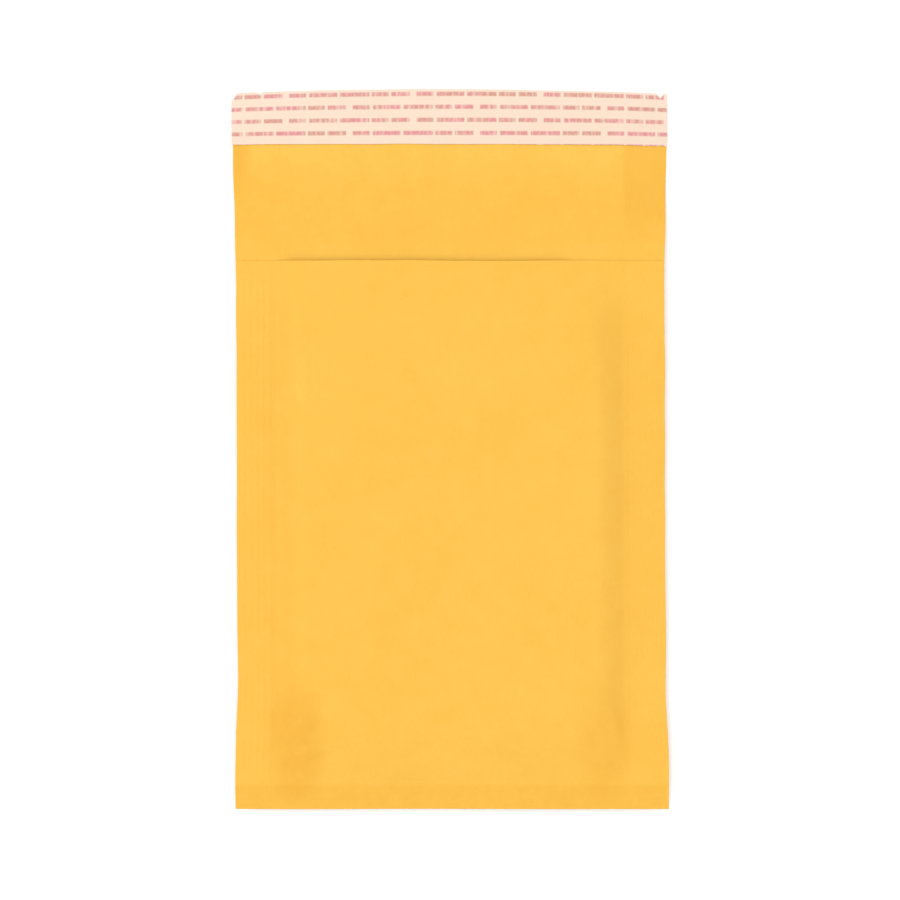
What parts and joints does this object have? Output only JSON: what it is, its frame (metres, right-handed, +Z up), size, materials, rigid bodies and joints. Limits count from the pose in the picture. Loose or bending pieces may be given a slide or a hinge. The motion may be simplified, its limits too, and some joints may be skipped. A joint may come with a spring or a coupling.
{
  "type": "padded envelope",
  "caption": "Small kraft paper mailing envelope lined with bubble film, open at the flap, with a peel-off adhesive strip; it holds and cushions a small flat item in the post.",
  "frame": {"origin": "under the middle of the whole outline, on the surface that the envelope lies on", "axes": "+X across the envelope, +Y from the bottom fold to the flap's free edge, +Z up out of the front panel"},
  "size_m": [0.1316, 0.217, 0.0104],
  "materials": {
    "kraft_sheet": "golden-yellow kraft paper, matt with faint fibres and cockle",
    "bubble_lining": "clear polyethylene bubble film",
    "adhesive_strip": "glossy pale amber hot-melt adhesive",
    "release_liner": "silicone-coated cream paper with rows of fine pink dashes"
  },
  "bodies": {
    "root": {"kraft_sheet": "kraft_sheet", "bubble_lining": "bubble_lining", "adhesive_strip": "adhesive_strip", "release_liner": "release_liner"}
  },
  "joints": []
}
